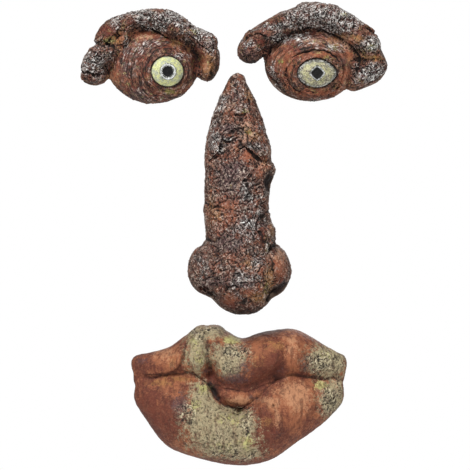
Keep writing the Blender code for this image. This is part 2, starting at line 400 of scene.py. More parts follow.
class PaintPot:
    def __init__(self, name):
        self.material = bpy.data.materials.new(name)
        self.material.use_nodes = True
        self.tree = self.material.node_tree
        self.shader = self.tree.nodes["Principled BSDF"]
        place = self.tree.nodes.new("ShaderNodeTexCoord")
        self.place = place.outputs["Object"]

    def join(self, value, socket):
        if isinstance(value, bpy.types.NodeSocket):
            self.tree.links.new(value, socket)
        else:
            socket.default_value = value

    def attribute(self, name):
        node = self.tree.nodes.new("ShaderNodeAttribute")
        node.attribute_name = name
        return node.outputs["Fac"]

    def noise(self, size, detail=3.0, roughness=0.55, distortion=0.0, upright=1.0):
        # Spots of this size, drawn out upright by as many times
        node = self.tree.nodes.new("ShaderNodeTexNoise")
        spread = self.tree.nodes.new("ShaderNodeMapping")
        spread.inputs["Scale"].default_value = (1, 1, 1 / upright)
        self.join(self.place, spread.inputs["Vector"])
        self.join(spread.outputs["Vector"], node.inputs["Vector"])
        node.inputs["Scale"].default_value = 1 / size
        node.inputs["Detail"].default_value = detail
        node.inputs["Roughness"].default_value = roughness
        node.inputs["Distortion"].default_value = distortion
        return node.outputs["Fac"]

    def sums(self, operation, first, second=0.0, third=0.0):
        node = self.tree.nodes.new("ShaderNodeMath")
        node.operation = operation
        for value, socket in zip((first, second, third), node.inputs):
            self.join(value, socket)
        return node.outputs["Value"]

    def times(self, first, second):
        return self.sums("MULTIPLY", first, second)

    def plus(self, first, second):
        return self.sums("ADD", first, second)

    def scaled(self, value, by, shift):
        return self.sums("MULTIPLY_ADD", value, by, shift)

    def most(self, first, second):
        return self.sums("MAXIMUM", first, second)

    def least(self, first, second):
        return self.sums("MINIMUM", first, second)

    def step(self, value, low, high, start=0.0, end=1.0):
        node = self.tree.nodes.new("ShaderNodeMapRange")
        node.interpolation_type = "SMOOTHSTEP"
        self.join(value, node.inputs["Value"])
        node.inputs["From Min"].default_value = low
        node.inputs["From Max"].default_value = high
        node.inputs["To Min"].default_value = start
        node.inputs["To Max"].default_value = end
        return node.outputs["Result"]

    def mix(self, share, first, second):
        # Colours, or paints by name. The Mix node keeps its colour sockets in places 6, 7 and 2.
        node = self.tree.nodes.new("ShaderNodeMix")
        node.data_type = "RGBA"
        self.join(share, node.inputs[0])
        for value, socket in ((first, node.inputs[6]), (second, node.inputs[7])):
            self.join(linearColour(value) if isinstance(value, str) else value, socket)
        return node.outputs[2]

    def arcs(self, reach, size, length):
        # Noise drawn out round the iris
        x, _, z = self.parted(self.place)
        node = self.tree.nodes.new("ShaderNodeTexNoise")
        node.inputs["Scale"].default_value = 1.0
        node.inputs["Detail"].default_value = 1.5
        spot = self.tree.nodes.new("ShaderNodeCombineXYZ")
        self.join(self.times(reach, 1 / size), spot.inputs["X"])
        self.join(self.times(x, 1 / length), spot.inputs["Y"])
        self.join(self.times(z, 1 / length), spot.inputs["Z"])
        self.join(spot.outputs["Vector"], node.inputs["Vector"])
        return node.outputs["Fac"]

    def parted(self, vector):
        node = self.tree.nodes.new("ShaderNodeSeparateXYZ")
        self.join(vector, node.inputs["Vector"])
        return [node.outputs[axis] for axis in "XYZ"]

    def blend(self, share, first, second):
        # The same for plain values, in places 2, 3 and 0
        node = self.tree.nodes.new("ShaderNodeMix")
        for value, socket in ((share, node.inputs[0]), (first, node.inputs[2]), (second, node.inputs[3])):
            self.join(value, socket)
        return node.outputs[0]

    def line(self, field, level, width):
        # Hairlines that wander where the noise passes a level: 1 on the line, 0 away from it
        away = self.sums("ABSOLUTE", self.sums("SUBTRACT", field, level))
        return self.step(away, 0.0, width, 1.0, 0.0)

    def ragged(self, share, size, stray):
        # A soft patch with its edge broken up, roughly and finely. Some of it strays outside.
        stir = self.scaled(self.noise(size, 5.0, 0.7), 2.4, -1.2)
        fine = self.scaled(self.noise(size / 4, 2.0), 1.2, -0.6)
        held = self.step(share, 0.0, 0.25, stray, 1.0)
        stir = self.times(self.plus(stir, fine), held)
        return self.step(self.plus(share, stir), 0.2, 0.75)


# Sizes of the paint's marks, in metres unless said otherwise
paintWork = {
    "broad": 0.008,
    "zone": 0.007,
    "patch": 0.0036,
    "curl": 0.0036,
    "mottle": 0.0034,
    "gap": 0.003,
    "streak": 0.0026,
    "curlGap": 0.0026,
    "hairline": 0.0017,
    "grain": 0.0011,
    "speck": 0.0009,
    "irisMottle": 0.003,
    "irisEdge": 0.0018,
    "crackle": 0.0016,
    "arcLength": 0.008,
    "arcWidth": 0.13,  # share of the iris's reach
    "bump": 0.0005,
    "backRim": (0.4, 2.0),  # squares above the back plane, where its paint ends
}


def resinPaint(name, look):
    pot = PaintPot(name)
    words = ("crest", "hollow", "fold", "side", "smooth", "shade")
    crest, hollow, fold, side, smooth, shade = (pot.attribute(word) for word in words)
    scratch = pot.noise(look["scratch"], 1.5, 0.5, 1.4)
    scratchFine = pot.noise(paintWork["hairline"], 1.0, 0.5, 1.2, look["brushed"])
    swirl = pot.noise(paintWork["curl"], 2.0, 0.5, 2.2)
    curled = pot.times(pot.step(pot.noise(paintWork["curlGap"], 2.0), 0.42, 0.52), look["curls"])
    if "iris" in look:
        arcs = pot.arcs(pot.attribute("irisReach"), paintWork["arcWidth"], paintWork["arcLength"])
        scratch = pot.blend(pot.times(pot.attribute("ball"), 0.75), scratch, arcs)
        curled = pot.times(curled, pot.scaled(pot.attribute("ball"), -0.8, 1.0))
    speck = pot.noise(paintWork["speck"], 2.0)
    busy = pot.scaled(smooth, -0.8, 1.0)

    # Ground coats, brushed wet into each other, and the patches over them
    broad = pot.step(pot.noise(paintWork["broad"], 4.0, 0.65), 0.42, 0.58)
    streak = pot.step(pot.noise(paintWork["streak"], 3.0, 0.6, 0.8, look["brushed"]), 0.44, 0.6)
    mottle = pot.step(pot.noise(paintWork["mottle"], 5.0, 0.7, 0.3, look["brushed"]), 0.52, 0.38)
    colour = pot.mix(broad, look["coat"][0], look["coat"][1])
    colour = pot.mix(pot.times(streak, 0.6), colour, look["coat"][2])
    for paint in look["patches"]:
        share = pot.ragged(pot.attribute(paint), paintWork["patch"], look["stray"])
        colour = pot.mix(pot.times(share, look["cover"]), colour, paint)
    colour = pot.mix(pot.times(mottle, look["mottle"]), colour, look["deep"])

    # Where the pale paint was dragged; its ground is greyer there
    zone = pot.scaled(pot.noise(paintWork["zone"], 4.0, 0.65), 2.4, -1.2)
    zone = pot.plus(pot.plus(zone, pot.attribute("frost")), look["frostAll"])
    zone = pot.times(pot.step(zone, 0.15, 1.0), busy)
    colour = pot.mix(pot.times(zone, look["greyed"]), colour, "ash")

    # Painted shade in the deep colour in the folds and on the sides that turn away from the front, then a
    # darker wash in pits and hairlines, and the painted shadow of the shade patches
    run = pot.times(pot.step(fold, 0.2, 2.6), look["foldShade"])
    # The sides that turn away from the front get painted shade as well
    run = pot.plus(run, pot.times(pot.step(side, 0.35, 0.95), look["sideShade"]))
    colour = pot.mix(pot.least(run, 0.9), colour, look["deep"])
    marks = pot.times(pot.scaled(zone, look["paleMarks"], look["marks"]), busy)
    # Dark hairlines on the low side of the levels where the pale strokes lie: partly dark wash, partly
    # painted shade beside each small crest
    lines = pot.most(pot.step(scratch, 0.46, 0.40), pot.step(speck, 0.6, 0.68))
    lines = pot.most(pot.line(scratchFine, 0.43, 0.06), lines)
    lines = pot.most(pot.times(pot.line(swirl, 0.46, 0.05), curled), lines)
    low = pot.times(pot.step(hollow, 0.03, 0.38), look["pitShade"])
    low = pot.plus(low, pot.times(lines, marks))
    # The shade patches are painted shadow: nostrils, pockets and the undersides of lobes and flaps
    low = pot.plus(low, shade)
    colour = pot.mix(pot.least(low, 0.94), colour, "wash")

    # Pale paint on the crests in short broken strokes, thick in its zones and faint elsewhere
    strokes = pot.times(pot.line(scratchFine, 0.56, 0.06), 0.5)
    strokes = pot.most(pot.line(scratch, 0.55, look["stroke"]), strokes)
    strokes = pot.times(strokes, pot.step(pot.noise(paintWork["gap"], 2.0), 0.44, 0.54))
    strokes = pot.most(pot.times(pot.line(swirl, 0.53, 0.05), curled), strokes)
    clear = pot.scaled(lines, -0.7, 0.9)
    bare = pot.times(pot.step(hollow, 0.2, -0.1), pot.step(shade, 0.7, 0.2))
    strokes = pot.times(pot.times(strokes, bare), busy)
    colour = pot.mix(pot.times(strokes, look["faint"]), colour, look["faintBrush"])
    tips = pot.times(pot.times(pot.step(crest, 0.7, 0.98), bare), clear)
    tips = pot.most(pot.times(tips, look["tips"]), strokes)
    tips = pot.times(tips, zone)
    colour = pot.mix(tips, colour, look["dryBrush"])

    if "iris" in look:
        colour = irisPaint(pot, colour, look["iris"])
    ground = pot.mix(pot.times(broad, 0.22), "rawResin", "umber")
    ground = pot.mix(pot.times(pot.step(speck, 0.56, 0.7), 0.5), ground, "umber")
    pot.join(pot.mix(pot.attribute("back"), colour, ground), pot.shader.inputs["Base Color"])

    # Matt paint, a little silkier where it is rubbed, with the brush's grain as a bump
    silk = pot.plus(pot.times(speck, 0.6), pot.times(tips, -0.25))
    pot.join(pot.step(silk, -0.1, 0.5, 0.5, 0.8), pot.shader.inputs["Roughness"])
    pot.shader.inputs["Specular IOR Level"].default_value = 0.28
    grain = pot.plus(pot.noise(paintWork["grain"], 4.0, 0.65), pot.times(strokes, 0.5))
    bump = pot.tree.nodes.new("ShaderNodeBump")
    bump.inputs["Strength"].default_value = 0.7
    bump.inputs["Distance"].default_value = paintWork["bump"]
    pot.join(grain, bump.inputs["Height"])
    pot.join(bump.outputs["Normal"], pot.shader.inputs["Normal"])
    return pot.material


def irisPaint(pot, colour, iris):
    # Rings measured by "irisReach" and "pupilReach", which are 1 on the edge and 0 in the middle
    wander = pot.scaled(pot.noise(paintWork["irisEdge"], 3.0), 0.16, -0.08)
    reach = pot.plus(pot.attribute("irisReach"), wander)
    pupil = pot.plus(pot.attribute("pupilReach"), wander)
    field = pot.noise(paintWork["crackle"], 2.0, 0.5, 0.8)
    dark = pot.line(field, 0.45, 0.06)
    pale = pot.line(field, 0.54, 0.05)
    mottle = pot.step(pot.noise(paintWork["irisMottle"], 4.0, 0.7), 0.44, 0.58)
    disc = pot.mix(mottle, iris["disc"], iris["mottle"])
    disc = pot.mix(pot.times(dark, iris["crackle"]), disc, "umber")
    disc = pot.mix(pot.times(pale, iris["crackle"]), disc, "cream")
    ring = pot.step(pupil, iris["ringReach"] + 0.15, iris["ringReach"] - 0.05)
    grey = pot.most(pot.step(reach, iris["greyFrom"], 1.0), ring)
    disc = pot.mix(pot.times(grey, 0.8), disc, "ash")
    disc = pot.mix(pot.times(ring, 0.6), disc, "wash")
    disc = pot.mix(pot.times(grey, dark), disc, "wash")
    disc = pot.mix(pot.times(grey, pale), disc, "frost")
    halo = pot.line(pupil, iris["ringReach"] - 0.17, 0.17)
    disc = pot.mix(pot.times(halo, iris["halo"]), disc, "frost")
    disc = pot.mix(pot.step(pupil, 1.1, 0.94), disc, "pupil")
    rim = pot.times(pot.step(reach, 1.14, 1.04), pot.step(reach, 0.92, 1.0))
    colour = pot.mix(pot.step(reach, 1.03, 0.98), colour, disc)
    return pot.mix(pot.times(rim, iris["rim"]), colour, "wash")


def irisReaches(skin, iris):
    # The right one is an almond with a pointed end and a pupil like a diamond
    across, up = ((skin.points[:, (0, 2)] - iris["centre"]) / iris["size"]).T
    reach = np.hypot(across, up / (1 - iris["point"] * np.clip(across, 0, 1) ** 2))
    spots = np.abs(skin.points[:, (0, 2)] - iris["pupilCentre"]) / iris["pupil"]
    pupil = (spots ** iris["pupilPower"]).sum(axis=1) ** (1 / iris["pupilPower"])
    return reach, pupil


def makePiece(look, workOver):
    # Carves a casting's skin, works it over with bark and measures what its paint follows
    skin = Skin(look)
    carve(skin, look["cuts"])
    crest, extra = workOver(skin, look["seed"])
    values = {name: patches(skin, look[name]) for name in (*look["patches"], "frost", "shade", "smooth")}
    values["crest"] = crest * skin.front
    calm = skin.relaxed(skin.points, passes(skinWork["sidePasses"]))
    # How far the skin turns away from the front: the sides get painted shade in the deep colour
    values["side"] = 1 + skin.normals(calm)[:, 1]
    values["hollow"] = skin.hollows(passes(skinWork["pitPasses"]))
    # How deep each point lies in a wide fold: the folds get painted shade in the deep colour
    values["fold"] = skin.hollows(passes(skinWork["foldPasses"]))
    values["back"] = 1 - smoothStep(*paintWork["backRim"], -skin.points[:, 1])
    values.update(extra)
    skin.finish(values, resinPaint(look["piece"] + "Paint", look))


def roughness(skin):
    # 1 on full bark, less where the casting was smoothed
    return 1 - 0.75 * np.clip(patches(skin, skin.look["smooth"]), 0, 1)


def workEye(skin, seed):
    iris = skin.look["iris"]
    reach, pupil = irisReaches(skin, iris)
    around = smoothStep(0.98, 1.08, reach)
    cutLine = -1.3 * np.exp(-((reach - 1.04) / 0.06) ** 2)  # round the iris
    ring = 0.8 * np.exp(-((pupil - iris["ringReach"]) / 0.14) ** 2)  # round the pupil
    well = -1.5 * (1 - smoothStep(0.5, 1.2, pupil))
    skin.raiseBy(cutLine + ring + well)
    ball = onBall(skin, skin.look["ball"])
    rough = around * roughness(skin)
    crest = bark(skin, (1 - ball) * rough, seed)
    crest += 0.8 * rings(skin, iris["centre"], 0.8 * ball * rough, seed + 40)
    return crest, {"irisReach": reach, "pupilReach": pupil, "ball": ball}


def workNose(skin, seed):
    return bark(skin, roughness(skin), seed), {}


def workLips(skin, seed):
    # Pits in the lichen and fine brush wrinkles over all
    grid = skin.points
    lichen = patches(skin, skin.look["lichen"])
    crest = bark(skin, 0.12 + 0.3 * lichen, seed)
    pits = smoothStep(0.2, 0.5, latticeNoise(grid / 2.4, seed + 50)) * (0.15 + lichen)
    wrinkles = latticeNoise(grid @ skin.look["grainWay"], seed + 60)
    skin.raiseBy(-0.8 * pits + 0.22 * wrinkles)
    return crest + 0.6 * lichen * smoothStep(0.1, 0.6, wrinkles), {}


# Paint that both eyes share. The nose and the lips have values of their own for the same words.

eyePaint = {
    "coat": ("umber", "brick", "terracotta"),  # under all, brushed into each other
    "patches": ["ochre", "terracotta", "brick", "plum", "flesh", "moss", "lime"],  # over them, in this order
    "cover": 0.95,  # how thickly
    "mottle": 0.5,  # how much of the deep colour is dabbed on
    "brushed": 1.0,  # how many times longer than wide the brush's streaks are
    "dryBrush": "frost",  # pale paint dragged over the crests
    "faintBrush": "flesh",  # its colour outside its zones
    "faint": 0.5,
    # The deep colour is dabbed on as mottle, and is also the painted shade in the folds and on the sides
    "deep": "deep",
    "frostAll": 0.18,  # dry-brush everywhere, besides its zones
    "greyed": 0.3,  # how grey the ground is under the dry-brush
    "foldShade": 0.66,  # painted shade in the folds and on the sides, and dark wash in the pits
    "sideShade": 0.6,
    "pitShade": 0.9,
    "marks": 0.85,  # dark hairlines, and how much more of them under the dry-brush
    "paleMarks": 0.15,
    "scratch": 0.0034,  # size of the scratches, in metres
    "stroke": 0.07,  # width of the pale strokes, curly hairlines, crests
    "curls": 0.85,
    "tips": 0.4,
    "stray": 1.0,  # how far patches fray
}


# Eye on the viewer's left

leftEye = {
    **eyePaint,
    "node": "left_eye",
    "piece": "leftEyePainted",
    "seed": 11,
    "middle": (-0.0623, 0.0959),  # metres from the row's origin
    "hole": (2.9, 14.3),  # the hanging hole's place
    "dent": (-44.2, -10.3, 6, 5),  # a small dent in the CAD's back, to be filled: place, reach, depth
    "grain": 0.0004,  # size of the skin's mesh, in metres
    "ball": [(3, -9, 46, 38, 34), (15, -15, 25, 24, 43)],  # the CAD's domes: place, half sizes, relief
    "iris": {"centre": (17.8, -15.6), "size": (16.4, 15.4), "point": 0, "greyFrom": 0.98,
             "pupilCentre": (18.2, -16), "pupil": 5.2, "pupilPower": 2, "ringReach": 1.5,
             "disc": "irisYellow", "mottle": "irisGrey",
             "crackle": 0.45, "halo": 0.55, "rim": 0.75},
    "cuts": [
        # The upper fold's edge, over the outer fold and the hollow
        ("flap", [(-58, 14), (-52, 15.5), (-47, 17), (-41, 12), (-33, 11), (-26, 12.5), (-22.5, 16.5),
                  (-22, 21.5), (-20, 25.5), (-13, 29)], 1.5, 2.0),
        ("groove", [(-60, 12), (-50, 13), (-40, 9), (-28, 10)], 2.0, 0.6),
        ("lump", (-45, 26), (9, 6), -2.8),
        ("ridge", [(-40, 19), (-31, 29), (-21, 38)], 1.6, 1.8),
        ("groove", [(-35, 15), (-27, 24), (-20, 31)], 1.0, 0.5),
        # The brow's hanging lobe and the hollow beneath it
        ("flap", [(-13, 29), (-5, 31.5), (1, 30.5), (5, 27), (11, 23.5), (19, 20), (24, 19), (30, 23),
                  (34, 25)], 1.5, 3.4),
        ("lump", (-4, 25), (16, 6), -1.6),
        ("lump", (26, 22.5), (4, 3), -2.2),
        ("lump", (12, 42), (6, 4), 1.8),
        ("lump", (-8, 40), (5, 4), 1.2),
        ("lump", (24, 36), (5, 5), 1.2),
        # The inner end and its tail
        ("flap", [(30, 25), (41, 20.5), (52.5, 10.5), (62, 5)], 1.4, 2.4),
        ("groove", [(26, 19), (37, 16.5), (42.5, 10), (44.5, 2.5), (45.5, -5), (46, -13), (45, -22),
                    (47, -29)], 2.6, 2.2),
        ("lump", (51.5, -2), (4.5, 6.5), -2.6),
        ("ridge", [(58, 0), (57, -8), (54, -18)], 2.6, 1.4),
        ("groove", [(64, -11), (61.5, -18), (59, -26)], 1.4, 3.0),
        ("lump", (62, -20), (2.4, 3.2), -3.5),
        ("lump", (49, 25), (5, 4), 1.0),
        # The outer fold
        ("groove", [(-73, -14), (-62, -17), (-54, -19.5), (-45, -16)], 1.2, 2.0),
        ("knot", (-48.5, 0.5), 5.2, 1.3, 1.5),
        ("groove", [(-28, 10), (-33, 2), (-37, -6), (-41, -15), (-45, -27)], 3.0, 1.2),
        ("lump", (-61, -3), (5, 5), -1.2),
        ("groove", [(-66, 4), (-60, 6), (-55, 2)], 1.1, 1.4),
        ("lump", (-62, -31), (13, 5), -2.5),
        ("lump", (68, -12), (4, 9), -3.6),
        # Small clefts in the brow
        ("groove", [(-12, 47), (-5, 40), (4, 41)], 1.2, 1.5),
        ("groove", [(13, 48), (19, 41), (28, 40)], 1.2, 1.7),
        ("groove", [(-22, 43), (-14, 36), (-6, 36)], 1.2, 1.5),
        ("groove", [(33, 36), (38, 30), (44, 31)], 1.2, 1.5),
    ],
    "flesh": [(-4, 19, 12, 3, 0.6), (-36, -22, 5, 8, 0.4), (56, -10, 3, 7, 0.5), (-26, 18, 3, 6, 0.4)],
    "smooth": [(-5, 21, 18, 5, 1.1), (-44, 26, 7, 6, 0.9), (52, -4, 6, 12, 0.9), (44, -4, 4, 18, 0.8),
               (-38, -20, 8, 10, 0.7), (26, 13, 8, 4, 0.6), (57, -11, 5, 9, 0.8), (-33, 18, 7, 5, 0.5),
               (9, 45, 5, 3, 0.5)],
    "plum": [(-11, -37, 10, 6, 1.0), (20, 38, 20, 12, 0.6), (-56, -24, 12, 5, 0.5), (-12, -12, 10, 8, 0.5),
             (26, -3, 8, 5, 0.5), (38, -16, 4, 10, 0.5), (-26, -12, 8, 10, 0.6), (2, 4, 12, 8, 0.5)],
    "terracotta": [(-5, 21, 18, 5, 1.3), (52, -6, 6, 10, 1.0), (-34, -18, 8, 14, 0.9), (34, -32, 12, 6, 0.6),
                   (30, 6, 12, 6, 0.6), (-28, 18, 6, 10, 0.6), (9, 45, 6, 4, 0.9), (-4, 37, 6, 4, 0.5)],
    "brick": [(-44, 26, 7.5, 6, 1.4), (-61, 0, 4, 5, 0.6), (46, 0, 5, 12, 1.1), (-49, 2.3, 4, 4, 0.9),
              (-20, 34, 8, 3, 0.7), (22, 29, 6, 4, 0.7), (0, -30, 30, 8, 0.5)],
    "ochre": [(-38, 16, 14, 4, 1.0), (-28, 22, 6, 10, 0.9), (58, -9, 7, 11, 1.5), (-37, -22, 8, 8, 0.9),
              (26, 12, 7, 4, 0.8), (34, 24, 4, 4, 0.5), (44, 26, 6, 4, 0.5)],
    "moss": [(20, -35, 5.5, 2.2, 1.1), (45, 24, 4, 3, 0.7)],
    "lime": [(-41, 15.5, 5, 2.4, 1.0)],
    "frost": [(18, 38, 30, 9, 1.0), (-14, 42, 20, 6, 0.8), (10, 30, 14, 6, 1.0), (-34, 30, 9, 8, 0.7),
              (-24, 14, 3, 9, 0.9), (-54, 14, 6, 3, 0.8), (-57, -8, 13, 12, 1.1), (-40, 4, 6, 6, 0.5),
              (50, 22, 12, 8, 1.0), (60, 6, 6, 10, 0.6), (-12.5, 3, 7, 10, 0.3), (6, 12, 11, 4.5, 0.35),
              (-24, -4, 5, 10, 0.45), (-4, -8, 5, 8, 0.25), (8, -40, 26, 4, 0.3), (57, -14, 2, 4, 0.8),
              (30, 0, 10, 6, 0.4), (9, 45, 6, 3.5, -0.9), (22, 30, 5, 5, -0.9), (-20, 40, 7, 4, -0.5),
              (36, 37, 4, 4, -0.5), (-44, 26, 8, 5, -0.6)],
    "shade": [(24, 21, 4, 2.5, 0.7), (62, -18, 2.5, 4, 0.9), (44, 2, 3, 10, 0.15), (-13, 4, 2, 3, 0.6),
              (-56, -17, 10, 1.5, 0.5)],
}


# Eye on the viewer's right

rightEye = {
    **eyePaint,
    "node": "right_eye",
    "piece": "rightEyePainted",
    "seed": 29,
    "middle": (0.0518, 0.0994),
    "hole": (2.9, 14.3),
    "grain": 0.00041,
    "ball": [(-2, -12, 47, 38, 34), (4, -23, 25, 21.5, 42)],
    "iris": {"centre": (4, -22.8), "size": (19.6, 14.2), "point": 0.25, "greyFrom": 0.72,
             "pupilCentre": (3.8, -22.6), "pupil": 6.2, "pupilPower": 1.3, "ringReach": 1.2,
             "disc": "irisDull", "mottle": "irisShade",
             "crackle": 0.9, "halo": 0.3, "rim": 0.55},
    "cuts": [
        # The brow's edge, over the ball and down to the tail
        ("flap", [(-52, -14), (-47, -6), (-44, 1), (-41, 8), (-33, 15), (-25, 19), (-12, 24), (-5, 25),
                  (4.5, 24), (15, 20), (25, 15.5), (34, 10), (39.5, 5), (44.5, -2), (47, -10), (46, -19),
                  (44, -27.5), (38, -36)], 1.7, 1.8),
        ("groove", [(-46, -8), (-39, 6), (-30, 14), (-12, 22), (4, 22), (20, 16), (33, 8), (42, -2),
                    (44.5, -12), (43.5, -22), (40, -32)], 2.2, 0.6),
        # The knob, and the brow's lower edge over it
        ("flap", [(-70, 12), (-58, 18), (-51, 16.5), (-46, 14.5), (-38, 14)], 1.4, 2.4),
        ("lump", (-57, 11), (7, 3), -1.6),
        ("lump", (-46, 6), (4, 6), -2.6),
        # Creases of the lids
        ("flap", [(-27, -9), (-18, -4.5), (-12, -1.5), (-5.5, 0.7), (3.7, 1.5), (13, 0.7), (19.5, -2.7),
                  (24.5, -7.7), (30, -15)], 1.3, 1.4),
        ("groove", [(-25, -7), (-12, -2), (3.7, 1), (17, -2), (27, -11)], 1.1, 0.6),
        ("groove", [(-25, -14), (-27.5, -22), (-25.5, -32), (-16, -40), (-4, -45), (8, -47)], 1.3, 1.8),
        ("groove", [(28.7, -12.7), (31.5, -19), (29, -30), (23, -38.5), (13, -45)], 1.3, 2.2),
        # The outer fold and the tail
        ("groove", [(45, -8), (54, -10), (62, -8), (72, -10)], 1.8, 1.4),
        ("lump", (59, -8), (8, 3), -1.6),
        ("flap", [(50, 25), (57, 22), (66, 17)], 1.2, 2.0),
        ("lump", (52, 7), (6, 4), 1.4),
        ("lump", (62, 0), (5, 4), 1.2),
        # Lumps and clefts of the brow
        ("lump", (-34, 29.5), (8, 3), -1.7),
        ("lump", (-26, 17.5), (7, 2.5), -1.5),
        ("lump", (-11.5, 26.5), (7, 3), -1.8),
        ("lump", (29, 29), (7, 3), -1.8),
        ("lump", (31, 36), (5, 3), 1.4),
        ("lump", (28, 22), (6, 3), 1.4),
        ("lump", (-8, 38), (6, 5), 1.4),
        ("groove", [(-20, 44), (-24, 38), (-22, 32)], 1.2, 1.6),
        ("groove", [(14, 50), (16, 42), (22, 38)], 1.2, 1.6),
        ("lump", (-24, 46), (5, 4), -4.0),
        ("lump", (-12, 49), (5, 4), 1.4),
        ("lump", (69, -27), (8, 5), -3.8),
        ("lump", (57, -33), (9, 5), -4.2),
        ("lump", (46, -39), (6, 4), -2.4),
        ("lump", (72, -2), (4, 6), -1.8),
        ("lump", (-20, -48), (14, 5), -2.0),
        ("lump", (33, 44), (5, 4), -2.2),
        ("lump", (-41, -34), (12, 11), -6.0),
        ("lump", (-52, 26), (13, 6), -4.0),
        ("groove", [(40, 34), (42, 27), (38, 20)], 1.2, 1.6),
    ],
    "flesh": [(0, 10, 12, 4, 0.7), (26, 9, 10, 6, 0.6), (-34, -6, 5, 6, 0.4), (32, -28, 4, 9, 0.5),
              (54, 20, 5, 1.5, 0.9), (33, 5, 4, 8, 0.5)],
    "smooth": [(4, -4, 20, 3, 0.8), (-30, -14, 9, 12, 0.6), (26, 12, 14, 5, 0.8), (36, -2, 5, 12, 0.7),
               (31, -26, 5, 12, 0.7), (4, -42, 24, 4, 0.7), (-52, 9, 7, 4, 0.7), (60, -7, 10, 3, 0.8),
               (45, 13, 6, 4, 0.6)],
    "plum": [(8, 34, 14, 8, 0.7), (-62, -6, 12, 7, 1.4), (56, -22, 14, 8, 0.8), (-30, 26, 14, 8, 0.5),
             (30, -10, 6, 6, 0.6), (-38, 12, 10, 5, 0.9), (-18, 22, 14, 3, 0.4)],
    "terracotta": [(-32, -10, 10, 14, 1.1), (4, -4, 22, 3.5, 1.2), (-24, -24, 5, 18, 0.9),
                   (31, -28, 6, 14, 1.1), (36, 4, 8, 12, 0.9), (4, -42, 26, 5, 1.0), (0, 9, 12, 6, 0.7)],
    "brick": [(-52, 11, 8, 4.5, 1.4), (-44, 2, 5, 8, 1.0), (-56, -8, 14, 4, 0.9), (-32, 30, 9, 3, 0.9),
              (-30, 18, 9, 3, 1.0), (-10, 26, 10, 3, 0.9), (54, 21, 8, 3, 1.1), (29.5, 29.5, 7, 2.5, 0.9),
              (44, -16, 3, 12, 0.7), (10, -46, 26, 3, 0.6)],
    "ochre": [(61, -7, 12, 3, 1.2), (26, 12, 12, 5, 0.9), (36, -4, 5, 12, 0.7), (45, 12, 7, 4, 1.0),
              (30, -36, 10, 5, 0.6)],
    "moss": [(21, 4, 5, 4, 0.6), (14, -7, 5, 2, 0.5), (-32, -10, 4, 3, 0.5), (56, 2, 8, 5, 0.5)],
    "lime": [(31, 36, 4, 2, 0.8), (58, 4, 8, 5, 0.5)],
    "frost": [(-30, 26, 22, 8, 0.8), (-6, 38, 18, 10, 1.0), (20, 36, 20, 10, 0.9), (38, 32, 14, 8, 1.2),
              (26, 22, 14, 5, 0.9), (57, 7, 12, 7, 1.3), (60, -22, 14, 9, 1.4), (-65, 7, 6, 5, 0.9),
              (-34, 12, 10, 5, 0.6), (-20, 14, 18, 4, 0.6), (18, 4, 10, 5, 0.7), (-4, 10, 14, 5, 0.5),
              (-40, -15, 5, 10, 0.7), (-36, -34, 8, 10, 0.5), (4, -50, 30, 3, 0.4), (-34, 30, 9, 4, -0.8),
              (12, 36, 5, 4, -0.7), (30, 29.5, 6, 2.5, -0.8), (54, 20, 8, 3, -1.0), (-24, 20, 16, 3, -0.5),
              (-57, -6, 14, 7, -1.3), (-50, 11, 8, 3, -0.7)],
    "shade": [(-44, 3, 3, 5, 0.6), (-60, -11, 14, 5, 0.6), (44, -20, 2, 12, 0.5),
              (-48, 12, 3, 3, 0.4)],
}


# Nose

